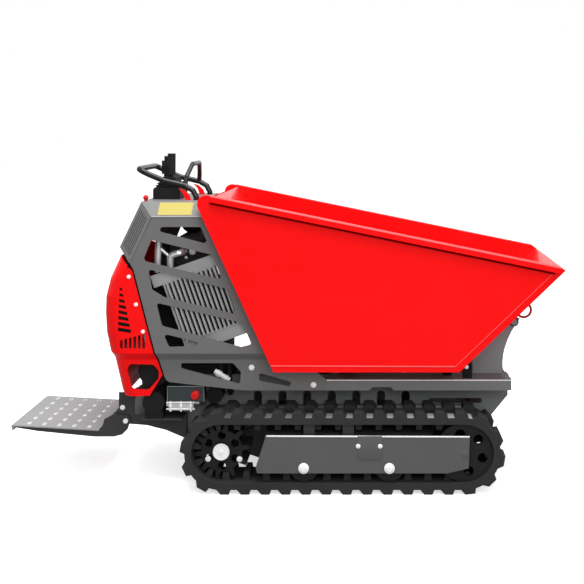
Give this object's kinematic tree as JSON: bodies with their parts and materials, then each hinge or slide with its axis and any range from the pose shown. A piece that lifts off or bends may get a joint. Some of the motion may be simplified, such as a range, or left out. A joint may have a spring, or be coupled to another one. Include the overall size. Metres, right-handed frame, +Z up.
{
  "type": "tracked mini dumper",
  "caption": "Walk-behind tracked mini dumper with a forward tipping red skip on rubber tracks, grey cut-out side panels, grab bar controls and a folding footplate.",
  "frame": {"origin": "middle of the machine's footprint, on the ground", "axes": "+X forward towards the skip's lip, +Y to the machine's left, +Z up"},
  "size_m": [2.026, 0.716, 1.206],
  "materials": {
    "rubber_track": "moulded",
    "dark_iron": "painted",
    "dark_frame": "satin",
    "guard_grey": "satin",
    "chassis_grey": "satin",
    "panel_grey": "satin",
    "red_paint": "gloss",
    "engine_block": "painted",
    "light_grey": "satin",
    "bare_steel": "satin",
    "box_grey": "moulded",
    "cast_alloy": "cast",
    "black_plastic": "moulded",
    "black_rubber": "moulded",
    "black_paint": "gloss",
    "red_plastic": "moulded",
    "zinc_steel": "plated",
    "chrome_rod": "polished",
    "light_steel": "satin"
  },
  "bodies": {
    "root": {"track_left": "rubber_track", "track_right": "rubber_track", "sprocket_left": "dark_iron", "sprocket_right": "dark_iron", "idler_left": "dark_iron", "idler_right": "dark_iron", "rollers_left": "dark_iron", "rollers_right": "dark_iron", "track_frame_left": "dark_frame", "track_frame_right": "dark_frame", "track_guard_left": "guard_grey", "track_guard_right": "guard_grey", "drive_motors": "dark_iron", "chassis_left": "chassis_grey", "chassis_right": "chassis_grey", "cross_members": "dark_frame", "skip_posts": "chassis_grey", "rest_buffers": "black_rubber", "rear_frame": "dark_frame", "side_panel_left": "panel_grey", "side_panel_right": "panel_grey", "console_hood": "panel_grey", "rear_cover": "red_paint", "engine": "engine_block", "ribbed_guards": "light_grey", "exhaust": "bare_steel", "battery_box": "box_grey", "valve_block": "cast_alloy", "rear_tank": "black_plastic", "hoses": "black_rubber", "grab_bar": "black_paint", "bar_brackets": "red_paint", "control_box": "black_plastic", "control_grips": "black_plastic", "brake_lever": "red_plastic", "footplate_pins": "zinc_steel"},
    "skip": {"skip_tub": "red_paint", "skip_rim": "red_paint", "skip_hinges": "dark_frame", "skip_ring": "red_paint", "skip_eye_bracket": "dark_frame"},
    "ram_barrel": {"cylinder_barrel": "black_paint"},
    "ram_stage": {"cylinder_stage": "chrome_rod"},
    "ram_rod": {"cylinder_rod": "chrome_rod"},
    "footplate": {"footplate_tread": "light_steel", "footplate_arms": "dark_frame"}
  },
  "joints": [
    {"name": "skip_tip", "type": "hinge", "parent": "root", "child": "skip", "pos_m": [0.85174, 0, 0.58062], "axis": [0, 1, 0], "range_deg": [0, 85]},
    {"name": "ram_swing", "type": "hinge", "parent": "root", "child": "ram_barrel", "pos_m": [0.637, 0, 0.15], "axis": [0, 1, 0], "range_deg": [0, 58.89]},
    {"name": "ram_stage_slide", "type": "slide", "parent": "ram_barrel", "child": "ram_stage", "axis": [-0.8548, 0, 0.519], "range_m": [0, 0.2812]},
    {"name": "ram_rod_slide", "type": "slide", "parent": "ram_stage", "child": "ram_rod", "axis": [-0.8548, 0, 0.519], "range_m": [0, 0.2812]},
    {"name": "footplate_fold", "type": "hinge", "parent": "root", "child": "footplate", "pos_m": [-0.5895, 0, 0.2205], "axis": [0, 1, 0], "range_deg": [0, 80]}
  ],
  "couplings": [
    {"joint": "ram_swing", "follows": "skip_tip", "ratio": 0.681},
    {"joint": "ram_stage_slide", "follows": "skip_tip", "m_per_rad": 0.1875},
    {"joint": "ram_rod_slide", "follows": "skip_tip", "m_per_rad": 0.1875}
  ]
}
